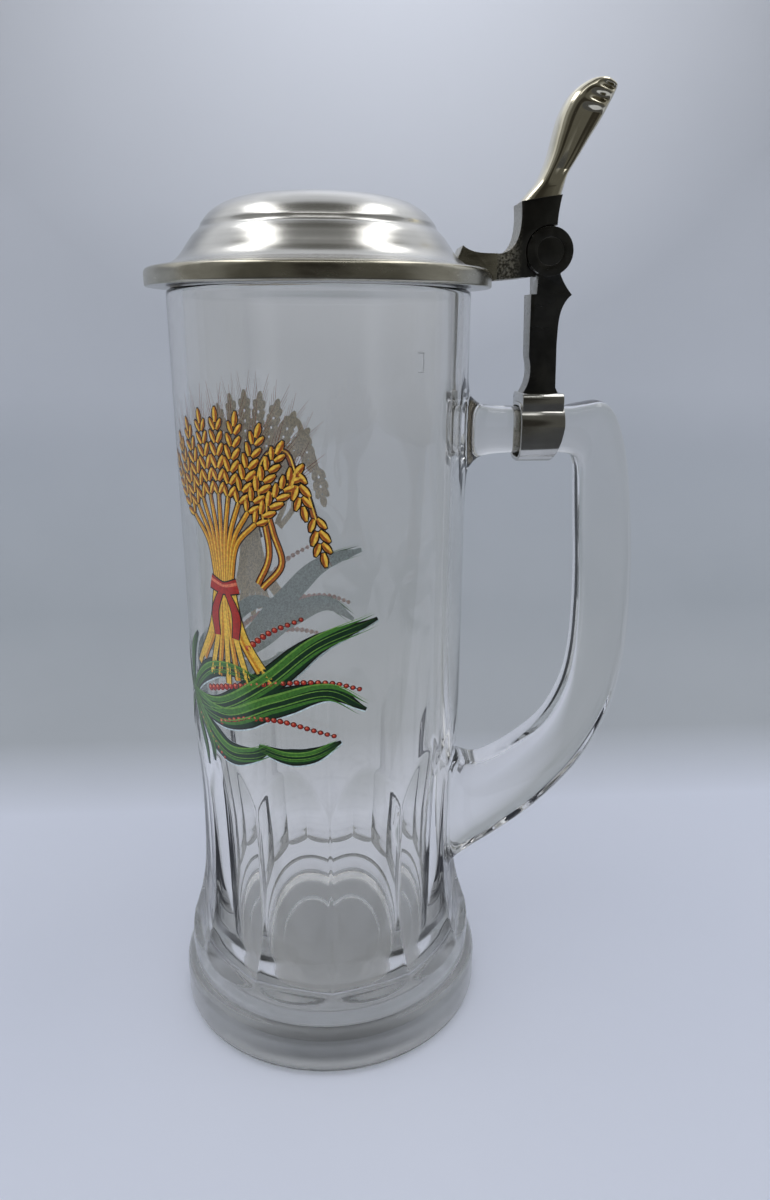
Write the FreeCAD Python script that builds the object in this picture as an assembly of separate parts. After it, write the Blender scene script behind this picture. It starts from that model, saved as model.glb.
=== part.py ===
import FreeCAD, Part
import math
import os

# Beer stein with a hinged metal lid, in millimetres.
# The origin is the centre of the base on the table, +Z is up and the handle points along +X.

# Glass body
RIM_RADIUS = 36.6
MUG_HEIGHT = 196.5
RIM_ROUND = 1.3
BORE_RADIUS = 32.9
FLOOR_HEIGHT = 10.5
RING_RADIUS = 43.0
RING_HEIGHT = 9.2
GROOVE_RADIUS = 40.5
GROOVE_HEIGHT = 13.3
FACET_COUNT = 12
FACET_PITCH = 360.0 / FACET_COUNT

# Glass handle, solid, with one thickness along Y
HANDLE_DEPTH = 12.6
HANDLE_ROUND = 4.6
GRIP_TOP = 168.8
GRIP_UNDERSIDE = 157.2

# Band round the top run of the handle
BAND_LEFT = 49.7
BAND_RIGHT = 60.8
BAND_THICKNESS = 1.0
BAND_FIT = 0.15
BAND_UNDERSIDE = 155.0
BAND_CORNER = 4.6
SADDLE_THICKNESS = 2.4
SADDLE_HALF_WIDTH = 6.0
SADDLE_ROUND = 1.6

# Hinge
PIN_X = 55.2
PIN_Z = 205.4
PIN_RADIUS = 2.0
PIN_HEAD_RADIUS = 3.25
PIN_HEAD_THICKNESS = 0.9
PIN_FIT = 0.04
EAR_RADIUS = 5.6
EAR_GAP = 3.6
KNUCKLE_WIDTH = 3.3
KNUCKLE_RADIUS = 5.2
EAR_CLEARANCE = 0.35
HINGE_WIDTH = 9.2
SHANK_FOOT_WIDTH = 6.1
SHANK_TOP_WIDTH = 7.6
SHANK_FOOT_Z = GRIP_TOP + BAND_THICKNESS + SADDLE_THICKNESS
SHANK_SHOULDER_Z = 195.7

SHANK_SPREAD_Z = 200.4
SHANK_NECK_RIGHT = 58.0

# Lid
LID_UNDERSIDE = MUG_HEIGHT + 0.3
FLANGE_RADIUS = 41.4
FLANGE_ROUND = 0.5
FLANGE_TOP = 199.6
LID_WALL = 1.6
LID_TOP = 217.2
HOLLOW_RADIUS = 31.4
HOLLOW_STEP = 3.0
TANG_WIDTH = 10.4
TANG_SEAM_LOW = (42.3, 198.9)
TANG_SEAM_HIGH = (42.3, 204.8)

# Thumb lever, and the slanted line where it stands on the hinge block
LEVER_WIDTH = 10.6
LEVER_ROUND = 1.2
LEVER_ROUND_FROM_Z = 225.0
LEVER_TIP = (68.9, 240.9)
LEVER_FOOT_FRONT = (47.7, 216.3)
LEVER_FOOT_BACK = (57.4, 217.9)


def point(x, z):
    return FreeCAD.Vector(x, 0, z)


def line(start, end):
    return Part.LineSegment(point(*start), point(*end)).toShape()


def arc(start, middle, end):
    return Part.Arc(point(*start), point(*middle), point(*end)).toShape()


def spline(*points):
    """Smooth curve through the points."""
    curve = Part.BSplineCurve()
    curve.interpolate([point(*p) for p in points])
    return curve.toShape()


def corner(start, end):
    """Quarter-round from start to end that swells to the right of the line between them."""
    rise = math.tan(math.radians(22.5))
    dx = (end[0] - start[0]) / 2
    dz = (end[1] - start[1]) / 2
    middle = (start[0] + dx + dz * rise, start[1] + dz - dx * rise)
    return arc(start, middle, end)


def face(edges):
    return Part.Face(Part.Wire(Part.__sortEdges__(edges)))


def turned(edges):
    """Solid of revolution about the Z axis."""
    return face(edges).revolve(FreeCAD.Vector(0, 0, 0), FreeCAD.Vector(0, 0, 1), 360)


def slab(edges, width):
    """Side profile in the XZ plane, given a width that is centred on Y = 0."""
    profile = face(edges)
    profile.translate(FreeCAD.Vector(0, -width / 2, 0))
    return profile.extrude(FreeCAD.Vector(0, width, 0))


def disc(radius, width, x=PIN_X, z=PIN_Z, y=0.0):
    """Round piece along Y, centred on y."""
    base = FreeCAD.Vector(x, y - width / 2, z)
    return Part.makeCylinder(radius, width, base, FreeCAD.Vector(0, 1, 0))


def box(x_range, y_range, z_range):
    low = FreeCAD.Vector(x_range[0], y_range[0], z_range[0])
    size = [r[1] - r[0] for r in (x_range, y_range, z_range)]
    return Part.makeBox(size[0], size[1], size[2], low)


def mug_blank():
    """Outside of the tankard before the cavity: base ring, bulge, waist and straight upper body."""
    bottom_round = 2.4
    straight_from = (36.4, 85.0)
    groove = (GROOVE_RADIUS, GROOVE_HEIGHT)
    outline = [
        line((0, 0), (RING_RADIUS - bottom_round, 0)),
        corner((RING_RADIUS - bottom_round, 0), (RING_RADIUS, bottom_round)),
        line((RING_RADIUS, bottom_round), (RING_RADIUS, RING_HEIGHT)),
        spline((RING_RADIUS, RING_HEIGHT), (42.3, 11.6), groove),
        spline(groove, (40.9, 17.5), (40.4, 22.5), (38.9, 28.4),
               (37.3, 34.0), (36.5, 43.0), (36.25, 60.0), straight_from),
        line(straight_from, (RIM_RADIUS, MUG_HEIGHT - RIM_ROUND)),
        corner((RIM_RADIUS, MUG_HEIGHT - RIM_ROUND), (RIM_RADIUS - RIM_ROUND, MUG_HEIGHT)),
        line((RIM_RADIUS - RIM_ROUND, MUG_HEIGHT), (0, MUG_HEIGHT)),
        line((0, MUG_HEIGHT), (0, 0)),
    ]
    blank = turned(outline)
    tool = facet_tool()
    tools = []
    for index in range(FACET_COUNT):
        cutter = tool.copy()
        cutter.rotate(FreeCAD.Vector(0, 0, 0), FreeCAD.Vector(0, 0, 1), (index + 0.5) * FACET_PITCH)
        tools.append(cutter)
    return blank.cut(tools)


def facet_tool():
    """Cuts one flat panel: a short ledge on the bulge, a tall face and an arch where it leaves the wall."""
    half_width = 14.0
    outside = 48.0
    bottom = (42.4, 19.5)
    ledge = (39.4, 22.0)
    top = (37.0, 84.5)
    edges = [
        line(bottom, ledge),
        spline(ledge, (38.6, 23.6), (37.6, 27.0), (36.5, 31.0), (35.25, 39.0), (34.75, 50.0),
               (34.7, 62.0), (35.2, 72.0), top),
        line(top, (outside, top[1])),
        line((outside, top[1]), (outside, bottom[1])),
        line((outside, bottom[1]), bottom),
    ]
    return slab(edges, 2 * half_width)


def mug_cavity():
    """Inside of the tankard: a straight bore that narrows a little towards a rounded floor."""
    mouth = MUG_HEIGHT + 1.0
    straight_from = 105.0
    floor_edge = (24.0, FLOOR_HEIGHT)
    corner_top = (30.9, FLOOR_HEIGHT + 6.5)
    outline = [
        line((0, FLOOR_HEIGHT), floor_edge),
        spline(floor_edge, (28.8, FLOOR_HEIGHT + 1.8), corner_top),
        spline(corner_top, (31.3, 25.0), (31.5, 38.0), (31.9, 52.0), (32.5, 76.0),
               (BORE_RADIUS, straight_from)),
        line((BORE_RADIUS, straight_from), (BORE_RADIUS, MUG_HEIGHT - RIM_ROUND)),
        corner((BORE_RADIUS + RIM_ROUND, MUG_HEIGHT), (BORE_RADIUS, MUG_HEIGHT - RIM_ROUND)),
        line((BORE_RADIUS + RIM_ROUND, MUG_HEIGHT), (BORE_RADIUS + RIM_ROUND, mouth)),
        line((BORE_RADIUS + RIM_ROUND, mouth), (0, mouth)),
        line((0, mouth), (0, FLOOR_HEIGHT)),
    ]
    return turned(outline)


def handle_section(outer, inner):
    """Rounded rectangle that reaches from the inner to the outer edge of the handle."""
    reach = point(*outer).sub(point(*inner))
    across = FreeCAD.Vector(reach).normalize()
    depth = FreeCAD.Vector(0, 1, 0)
    half = reach.Length / 2
    side = HANDLE_DEPTH / 2
    centre = point(*inner).add(across * half)

    def place(u, v):
        return centre.add(across * u).add(depth * v)

    edges = []
    diagonal = HANDLE_ROUND * (1 - math.sqrt(0.5))
    flat_u = half - HANDLE_ROUND
    flat_v = side - HANDLE_ROUND
    for u, v in ((1, 1), (-1, 1), (-1, -1), (1, -1)):
        on_u = place(u * half, v * flat_v)
        on_v = place(u * flat_u, v * side)
        middle = place(u * (half - diagonal), v * (side - diagonal))
        if u * v > 0:
            edges.append(Part.Arc(on_u, middle, on_v).toShape())
            edges.append(Part.LineSegment(on_v, place(-u * flat_u, v * side)).toShape())
        else:
            edges.append(Part.Arc(on_v, middle, on_u).toShape())
            edges.append(Part.LineSegment(on_u, place(u * half, -v * flat_v)).toShape())
    return Part.Wire(edges)


def mug_handle(blank):
    """Solid handle through stations of outer and inner edge, cut to meet the body face to face."""
    root_x = 33.5
    stations = [
        ((root_x, 174.9), (root_x, 150.1)),
        ((37.6, 170.6), (37.6, 155.2)),
        ((42.0, 169.0), (42.0, 156.9)),
        ((49.0, GRIP_TOP), (49.0, GRIP_UNDERSIDE)),
        ((56.0, GRIP_TOP), (56.0, GRIP_UNDERSIDE)),
        ((62.6, GRIP_TOP), (61.4, GRIP_UNDERSIDE)),
        ((67.2, 169.6), (64.4, 156.4)),
        ((71.8, 169.9), (65.8, 154.6)),
        ((75.6, 165.4), (66.3, 152.0)),
        ((78.6, 156.0), (66.5, 147.5)),
        ((80.6, 143.5), (67.0, 139.5)),
        ((82.2, 128.0), (67.9, 127.0)),
        ((82.7, 113.0), (68.3, 114.0)),
        ((82.1, 98.0), (67.9, 102.0)),
        ((79.0, 83.5), (65.9, 92.0)),
        ((71.5, 68.7), (60.8, 82.2)),
        ((60.0, 55.8), (52.2, 74.6)),
        ((48.0, 46.6), (43.6, 69.8)),
        ((root_x, 37.6), (root_x, 71.6)),
    ]
    wires = [handle_section(outer, inner) for outer, inner in stations]
    return Part.makeLoft(wires, True, False).cut(blank)


def band_loop(half_width, underside, top, round_radius, length):
    """Rounded rectangular bar along X, centred on the band."""
    solid = Part.makeBox(length, 2 * half_width, top - underside)
    solid.translate(FreeCAD.Vector((BAND_LEFT + BAND_RIGHT - length) / 2, -half_width, underside))
    long_edges = [e for e in solid.Edges if e.BoundBox.XLength > length - 0.01]
    return solid.makeFillet(round_radius, long_edges)


def handle_band():
    """Strip bent round the handle with a hair of play, narrower underneath than on top."""
    inner_half = HANDLE_DEPTH / 2
    length = BAND_RIGHT - BAND_LEFT
    outer = band_loop(inner_half + BAND_THICKNESS, BAND_UNDERSIDE, GRIP_TOP + BAND_THICKNESS,
                      BAND_CORNER + BAND_THICKNESS, length)
    inner = band_loop(inner_half + BAND_FIT, BAND_UNDERSIDE + BAND_THICKNESS, GRIP_TOP + BAND_FIT,
                      BAND_CORNER, 2 * length)
    trim_from = 164.0
    trim_low = (BAND_RIGHT - 3.2, BAND_UNDERSIDE - 1)
    trim_high = (BAND_RIGHT, trim_from)
    outside = (BAND_RIGHT + 5, trim_from)
    trim = slab([
        spline(trim_low, (BAND_RIGHT - 1.3, 158.4), trim_high),
        line(trim_high, outside),
        line(outside, (outside[0], trim_low[1])),
        line((outside[0], trim_low[1]), trim_low),
    ], 4 * inner_half)
    return outer.cut([inner, trim])


def band_saddle():
    """Plate on top of the band, with rounded long edges."""
    bottom = GRIP_TOP + BAND_THICKNESS
    top = bottom + SADDLE_THICKNESS
    inset = 0.3
    block = box((BAND_LEFT + inset, BAND_RIGHT - inset), (-SADDLE_HALF_WIDTH, SADDLE_HALF_WIDTH),
                (bottom - SADDLE_THICKNESS, top))
    length = BAND_RIGHT - BAND_LEFT
    top_edges = [e for e in block.Edges if e.BoundBox.XLength > length / 2 and e.BoundBox.ZMax > bottom]
    block = block.makeFillet(SADDLE_ROUND, top_edges)
    band = band_loop(HANDLE_DEPTH / 2 + BAND_THICKNESS, BAND_UNDERSIDE, bottom,
                     BAND_CORNER + BAND_THICKNESS, 2 * length)
    return block.cut(band)


def shank_outline():
    """Side view of the upright: spread foot, relief at the front and the stop's point at the back."""
    foot_left = 51.2
    foot_right = 58.7
    foot_spread = 0.7
    foot_rise = SHANK_FOOT_Z + 1.3
    front = (51.5, 181.0)
    back = (58.3, 184.0)
    stop_point = (61.3, 195.6)
    stop_top = (SHANK_NECK_RIGHT, 200.2)
    neck_left = 52.6
    inside_ear = PIN_Z - 4.0
    return [
        spline((foot_left - foot_spread, SHANK_FOOT_Z), (foot_left, foot_rise), front),
        line(front, (foot_left, SHANK_SHOULDER_Z)),
        line((foot_left, SHANK_SHOULDER_Z), (neck_left, SHANK_SHOULDER_Z)),
        line((neck_left, SHANK_SHOULDER_Z), (neck_left, inside_ear)),
        line((neck_left, inside_ear), (SHANK_NECK_RIGHT, inside_ear)),
        line((SHANK_NECK_RIGHT, inside_ear), stop_top),
        spline(stop_top, (59.3, 198.0), stop_point),
        spline(stop_point, (59.4, 193.2), (58.5, 189.8), back),
        line(back, (foot_right, foot_rise)),
        spline((foot_right, foot_rise), (foot_right + foot_spread, SHANK_FOOT_Z)),
        line((foot_right + foot_spread, SHANK_FOOT_Z), (foot_left - foot_spread, SHANK_FOOT_Z)),
    ]


def hinge_shank():
    """Upright that ends in two ears, with a pointed stop on its back."""
    post = slab(shank_outline(), HINGE_WIDTH)
    reach = 10.0
    right_side = [
        (SHANK_FOOT_WIDTH / 2, SHANK_FOOT_Z), (SHANK_TOP_WIDTH / 2, SHANK_SHOULDER_Z),
        (HINGE_WIDTH / 2, SHANK_SPREAD_Z), (HINGE_WIDTH / 2, PIN_Z),
    ]
    taper = right_side + [(-y, z) for y, z in reversed(right_side)] + right_side[:1]
    envelope = Part.Face(Part.makePolygon([FreeCAD.Vector(PIN_X - reach, y, z) for y, z in taper]))
    post = post.common(envelope.extrude(FreeCAD.Vector(2 * reach, 0, 0)))
    shank = post.fuse(disc(EAR_RADIUS, HINGE_WIDTH))
    slot_floor = PIN_Z - KNUCKLE_RADIUS - EAR_CLEARANCE
    gap = box((PIN_X - reach, PIN_X + reach), (-EAR_GAP / 2, EAR_GAP / 2), (slot_floor, PIN_Z + EAR_RADIUS + 1))
    bore = disc(PIN_RADIUS, HINGE_WIDTH + 2)
    seats = [disc(PIN_HEAD_RADIUS, PIN_HEAD_THICKNESS, y=side * (HINGE_WIDTH - PIN_HEAD_THICKNESS) / 2)
             for side in (-1, 1)]
    return shank.cut([gap, bore] + seats).removeSplitter()


def hinge_pin():
    """Pin with a flush riveted head at each end."""
    pin = disc(PIN_RADIUS, HINGE_WIDTH)
    for side in (-1, 1):
        pin = pin.fuse(disc(PIN_HEAD_RADIUS, PIN_HEAD_THICKNESS, y=side * (HINGE_WIDTH - PIN_HEAD_THICKNESS) / 2))
    return pin.removeSplitter()


def thumb_block():
    """Hinge block: it carries the centre knuckle and is hollowed for the shank's ears."""
    low_right = (56.6, 204.0)
    low_middle = (PIN_X, 200.5)
    low_left = (50.4, 199.6)
    block = slab([
        line(TANG_SEAM_LOW, low_left),
        line(low_left, low_middle),
        line(low_middle, low_right),
        spline(low_right, (56.6, 212.0), (56.9, 215.2), LEVER_FOOT_BACK),
        line(LEVER_FOOT_BACK, LEVER_FOOT_FRONT),
        spline(LEVER_FOOT_FRONT, (47.6, 209.6), (46.2, 206.4), TANG_SEAM_HIGH),
        line(TANG_SEAM_HIGH, TANG_SEAM_LOW),
    ], HINGE_WIDTH)
    ear_width = (HINGE_WIDTH - KNUCKLE_WIDTH) / 2
    overcut = 0.2
    reach = 15.0
    for side in (-1, 1):
        ear_space = disc(EAR_RADIUS + EAR_CLEARANCE, ear_width + overcut,
                         y=side * (KNUCKLE_WIDTH + ear_width + overcut) / 2)
        below_pin = box((PIN_X - EAR_RADIUS, PIN_X + reach),
                        sorted((side * KNUCKLE_WIDTH / 2, side * HINGE_WIDTH)), (PIN_Z - reach, PIN_Z))
        block = block.cut([ear_space, below_pin])
    knuckle = disc(KNUCKLE_RADIUS, KNUCKLE_WIDTH)
    block = block.fuse(knuckle).cut(disc(PIN_RADIUS + PIN_FIT, HINGE_WIDTH + 2))
    return block.removeSplitter()


def thumb_lever():
    """Curved lever that the thumb presses, standing on the hinge block."""
    outline = [
        line(LEVER_FOOT_FRONT, LEVER_FOOT_BACK),
        spline(LEVER_FOOT_BACK, (59.0, 223.0), (61.2, 227.4), (64.3, 233.0), (67.4, 238.3), LEVER_TIP),
        spline(LEVER_TIP, (67.9, 242.4), (65.2, 243.3), (61.2, 241.6), (57.9, 237.6), (56.2, 232.2),
               (54.9, 227.2), (52.6, 221.9), LEVER_FOOT_FRONT),
    ]
    lever = slab(outline, LEVER_WIDTH)
    side_edges = []
    for edge in lever.Edges:
        on_side = abs(abs(edge.CenterOfMass.y) - LEVER_WIDTH / 2) < 0.01
        if on_side and edge.BoundBox.ZMax > LEVER_ROUND_FROM_Z:
            side_edges.append(edge)
    return lever.makeFillet(LEVER_ROUND, side_edges)


def thumb_lift():
    return thumb_block().fuse(thumb_lever()).removeSplitter()


def lid_blank():
    """Outside of the lid: thick flange, stepped dome and a nearly flat top."""
    flange_inside = (39.8, 201.0)
    dome_foot = (37.0, 201.5)
    step_low = (28.5, 209.4)
    step_high = (27.8, 210.6)
    outline = [
        line((0, LID_UNDERSIDE), (FLANGE_RADIUS - FLANGE_ROUND, LID_UNDERSIDE)),
        corner((FLANGE_RADIUS - FLANGE_ROUND, LID_UNDERSIDE), (FLANGE_RADIUS, LID_UNDERSIDE + FLANGE_ROUND)),
        line((FLANGE_RADIUS, LID_UNDERSIDE + FLANGE_ROUND), (FLANGE_RADIUS, FLANGE_TOP)),
        spline((FLANGE_RADIUS, FLANGE_TOP), (41.0, 200.6), flange_inside),
        line(flange_inside, dome_foot),
        spline(dome_foot, (34.4, 202.5), (32.6, 204.2), (31.2, 206.3), (29.9, 208.0), step_low),
        spline(step_low, (28.1, 210.0), step_high),
        spline(step_high, (26.2, 212.5), (24.3, 214.1), (21.5, 215.6), (17.5, 216.6), (10.0, 217.1),
               (0, LID_TOP)),
        line((0, LID_TOP), (0, LID_UNDERSIDE)),
    ]
    return turned(outline)


def lid_hollow():
    """Inside of the dome, and the shallow step that clears the rim's inner edge."""
    below = LID_UNDERSIDE - 1.0
    step_top = (HOLLOW_RADIUS, LID_UNDERSIDE + HOLLOW_STEP)
    ceiling = (0, LID_TOP - LID_WALL)
    outline = [
        line((0, below), (HOLLOW_RADIUS, below)),
        line((HOLLOW_RADIUS, below), step_top),
        spline(step_top, (30.6, 203.6), (29.2, 206.0), (27.2, 208.4), (25.2, 211.2),
               (22.6, 213.2), (17.2, 214.9), (9.0, 215.5), ceiling),
        line(ceiling, (0, below)),
    ]
    return turned(outline)


def lid_tang(lid):
    """Claw that grips the flange, with its tip turned up and its heel against the hinge casting."""
    tip_top = (34.0, 206.5)
    tip_low = (32.9, 203.9)
    outline = [
        line(tip_low, (34.2, 201.0)),
        line((34.2, 201.0), (39.5, 199.0)),
        line((39.5, 199.0), (41.0, 198.5)),
        line((41.0, 198.5), TANG_SEAM_LOW),
        line(TANG_SEAM_LOW, TANG_SEAM_HIGH),
        spline(TANG_SEAM_HIGH, (38.6, 204.9), (36.0, 205.4), tip_top),
        line(tip_top, tip_low),
    ]
    return slab(outline, TANG_WIDTH).cut(lid)


def main():
    blank = mug_blank()
    lid = lid_blank()
    nodes = {
        "mug_body": blank.cut(mug_cavity()),
        "mug_handle": mug_handle(blank),
        "handle_band": handle_band(),
        "band_saddle": band_saddle(),
        "hinge_shank": hinge_shank(),
        "hinge_pin": hinge_pin(),
        "thumb_lift": thumb_lift(),
        "lid_tang": lid_tang(lid),
        "lid_dome": lid.cut(lid_hollow()),
    }
    os.makedirs("parts", exist_ok=True)
    for name, shape in nodes.items():
        shape.exportStep("parts/" + name + ".step")
        low = shape.BoundBox
        print(name, shape.isValid(), len(shape.Solids), round(shape.Volume, 1),
              [round(v, 2) for v in (low.XMin, low.XMax, low.YMin, low.YMax, low.ZMin, low.ZMax)])


main()
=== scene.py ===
import math

import bmesh
import bpy
import numpy as np
from mathutils import Matrix, Vector


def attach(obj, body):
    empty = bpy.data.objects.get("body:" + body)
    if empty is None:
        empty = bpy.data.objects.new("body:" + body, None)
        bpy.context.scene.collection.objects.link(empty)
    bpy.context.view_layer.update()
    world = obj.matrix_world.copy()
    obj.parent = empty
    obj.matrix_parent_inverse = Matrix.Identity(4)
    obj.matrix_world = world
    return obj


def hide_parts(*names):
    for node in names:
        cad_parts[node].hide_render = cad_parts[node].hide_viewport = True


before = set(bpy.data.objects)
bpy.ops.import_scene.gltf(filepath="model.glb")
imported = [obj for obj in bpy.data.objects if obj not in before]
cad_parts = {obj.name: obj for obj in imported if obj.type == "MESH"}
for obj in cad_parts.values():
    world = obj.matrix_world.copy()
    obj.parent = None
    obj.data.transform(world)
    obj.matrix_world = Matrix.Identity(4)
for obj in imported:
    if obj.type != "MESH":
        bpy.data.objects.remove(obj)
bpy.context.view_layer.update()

# Lengths are millimetres in the object's frame: base centre at the origin, +Z up, handle along +X.
# Only the places inside materials are in metres, because the shaders work in scene units.
MM = 0.001

# Glass vessel
FACET_COUNT = 12
FACET_PITCH = 2 * math.pi / FACET_COUNT
FACET_LOW = 18.5
FACET_HIGH = 87.0
FACET_EDGE = 0.12
FLUTE_DEPTH = 0.7
FLOOR_HEIGHT = 10.5
RECESS_DEPTH = 1.7
STIPPLE_TOP = 2.0
STIPPLE_ROUGHNESS = 0.3
OUTER_SEGMENTS = 360
INNER_SEGMENTS = OUTER_SEGMENTS // 2

# Lid
CROWN_TOP = 217.18
HOLLOW_TOP = 215.5
FLANGE_INSIDE = 38.5
FLANGE_HIGHEST = 201.3

# Print: radius of the glass under it, and how far the layers stand apart
PRINT_RADIUS = 36.42
PRINT_LIFT = 0.03
PRINT_LAYER = 0.022

# Camera
CAMERA_PLACE = (0.0, -225.9, 187.8)
CAMERA_PITCH = math.radians(17.29)
CAMERA_YAW = math.radians(4.06)
CAMERA_ROLL = math.radians(0.157)
SENSOR = 36.0
FOCAL_SHARE = 0.72875


# ---------------------------------------------------------------- shapes

def smooth_path(points, count):
    """Catmull-Rom curve through the points, spaced evenly by length."""
    steps = 24
    p = np.array(points, float)
    p = np.vstack([2 * p[0] - p[1], p, 2 * p[-1] - p[-2]])
    fine = []
    for i in range(1, len(p) - 2):
        a, b, c, d = p[i - 1], p[i], p[i + 1], p[i + 2]
        for k in range(steps):
            t = k / steps
            fine.append(0.5 * (2 * b + (c - a) * t + (2 * a - 5 * b + 4 * c - d) * t * t
                               + (3 * b - a - 3 * c + d) * t ** 3))
    fine.append(p[-2])
    fine = np.array(fine)
    length = np.concatenate([[0], np.cumsum(np.linalg.norm(np.diff(fine, axis=0), axis=1))])
    wanted = np.linspace(0, length[-1], count)
    return np.stack([np.interp(wanted, length, fine[:, k]) for k in range(fine.shape[1])], 1)


def path_length(points):
    return float(np.sum(np.linalg.norm(np.diff(np.array(points, float), axis=0), axis=1)))


def arc_points(centre, radius, start, end, count):
    """Points on an arc, from one angle to another in degrees."""
    angles = np.radians(np.linspace(start, end, count))
    return np.stack([centre[0] + radius * np.cos(angles), centre[1] + radius * np.sin(angles)], 1)


def make_piece(name, points, faces, body, material):
    """Smooth mesh object, which rides on a body unless that is None."""
    mesh = bpy.data.meshes.new(name)
    mesh.from_pydata([tuple(MM * c for c in p) for p in points], [], faces)
    mesh.validate()
    mesh.polygons.foreach_set("use_smooth", [True] * len(mesh.polygons))
    mesh.materials.append(material)
    piece = bpy.data.objects.new(name, mesh)
    bpy.context.scene.collection.objects.link(piece)
    if body:
        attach(piece, body)
    return piece


def band_faces(low, high, columns):
    """Quads between two closed rings of points, given the first point of each."""
    faces = []
    for j in range(columns):
        k = (j + 1) % columns
        faces.append((low + j, low + k, high + k, high + j))
    return faces


def loop_faces(rows, columns, start=0):
    """Quads between rows of points, where each row is a closed ring."""
    faces = []
    for i in range(rows - 1):
        faces += band_faces(start + i * columns, start + (i + 1) * columns, columns)
    return faces


def lathe(profile, segments, radius_at=None):
    """Rings of points about Z, one for each (radius, height) of the profile."""
    angles = 2 * np.pi * np.arange(segments) / segments
    points = []
    for radius, height in profile:
        radii = radius_at(radius, height, angles) if radius_at else np.full(segments, radius)
        for r, angle in zip(radii, angles):
            points.append((r * math.cos(angle), r * math.sin(angle), height))
    return points


def fan(points, faces, centre, start, count, flip):
    """Closes the ring of points that begins at start with a point at its centre."""
    middle = len(points)
    points.append(centre)
    for j in range(count):
        a, b = start + j, start + (j + 1) % count
        faces.append((b, a, middle) if flip else (a, b, middle))


def mark_sharp(mesh, degrees):
    """Shades smooth, apart from edges that turn by more than this."""
    bm = bmesh.new()
    bm.from_mesh(mesh)
    limit = math.radians(degrees)
    for face in bm.faces:
        face.smooth = True
    for edge in bm.edges:
        edge.smooth = edge.calc_face_angle(0) < limit
    bm.to_mesh(mesh)
    bm.free()


def apply_modifiers(piece):
    graph = bpy.context.evaluated_depsgraph_get()
    mesh = bpy.data.meshes.new_from_object(piece.evaluated_get(graph))
    piece.modifiers.clear()
    piece.data = mesh
    return mesh


# ---------------------------------------------------------------- materials

class Nodes:
    """Short names for building a node tree."""

    def __init__(self, tree):
        self.tree = tree

    def add(self, kind, **settings):
        node = self.tree.nodes.new(kind)
        for key, value in settings.items():
            if key.startswith("in_"):
                node.inputs[key[3:].replace("_", " ")].default_value = value
            else:
                setattr(node, key, value)
        return node

    def link(self, source, target):
        self.tree.links.new(source, target)

    def feed(self, socket, value):
        """Sets an input to a number, a colour or another node's output."""
        if isinstance(value, (int, float)):
            socket.default_value = value
        elif isinstance(value, tuple):
            socket.default_value = (*value, 1) if len(value) == 3 else value
        else:
            self.link(value, socket)

    def place(self):
        return self.add("ShaderNodeTexCoord").outputs["Object"]

    def split(self, vector):
        node = self.add("ShaderNodeSeparateXYZ")
        self.link(vector, node.inputs["Vector"])
        return node.outputs["X"], node.outputs["Y"], node.outputs["Z"]

    def noise(self, scale, detail=3.0, stretch=None, place=None):
        place = place or self.place()
        if stretch:
            mapping = self.add("ShaderNodeMapping")
            mapping.inputs["Scale"].default_value = stretch
            self.link(place, mapping.inputs["Vector"])
            place = mapping.outputs["Vector"]
        node = self.add("ShaderNodeTexNoise", in_Scale=scale, in_Detail=detail)
        self.link(place, node.inputs["Vector"])
        return node.outputs["Fac"]

    def ramp(self, source, stops):
        node = self.add("ShaderNodeValToRGB")
        elements = node.color_ramp.elements
        while len(elements) < len(stops):
            elements.new(0.5)
        for element, (position, colour) in zip(elements, stops):
            element.position = position
            element.color = (*colour, 1)
        self.link(source, node.inputs["Fac"])
        return node.outputs["Color"]

    def remap(self, source, low, high, new_low, new_high, kind="LINEAR"):
        node = self.add("ShaderNodeMapRange", interpolation_type=kind)
        names = ("From Min", "From Max", "To Min", "To Max")
        for name, value in zip(names, (low, high, new_low, new_high)):
            node.inputs[name].default_value = value
        self.link(source, node.inputs["Value"])
        return node.outputs["Result"]

    def fade(self, source, low, high):
        """1 below low, 0 above high and soft between them."""
        return self.remap(source, low, high, 1.0, 0.0, "SMOOTHSTEP")

    def math(self, operation, a, b=0.0):
        node = self.add("ShaderNodeMath", operation=operation)
        self.feed(node.inputs[0], a)
        self.feed(node.inputs[1], b)
        return node.outputs["Value"]

    def mix(self, factor, a, b, blend="MIX"):
        """Blend of two colours. Sockets 0, 6, 7 and 2 are the factor, the colours and the result."""
        node = self.add("ShaderNodeMix", data_type="RGBA", blend_type=blend)
        self.feed(node.inputs[0], factor)
        self.feed(node.inputs[6], a)
        self.feed(node.inputs[7], b)
        return node.outputs[2]

    def distance(self, centre):
        """Distance of each point from a fixed place."""
        node = self.add("ShaderNodeVectorMath", operation="DISTANCE")
        self.link(self.place(), node.inputs[0])
        node.inputs[1].default_value = centre
        return node.outputs["Value"]


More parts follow.
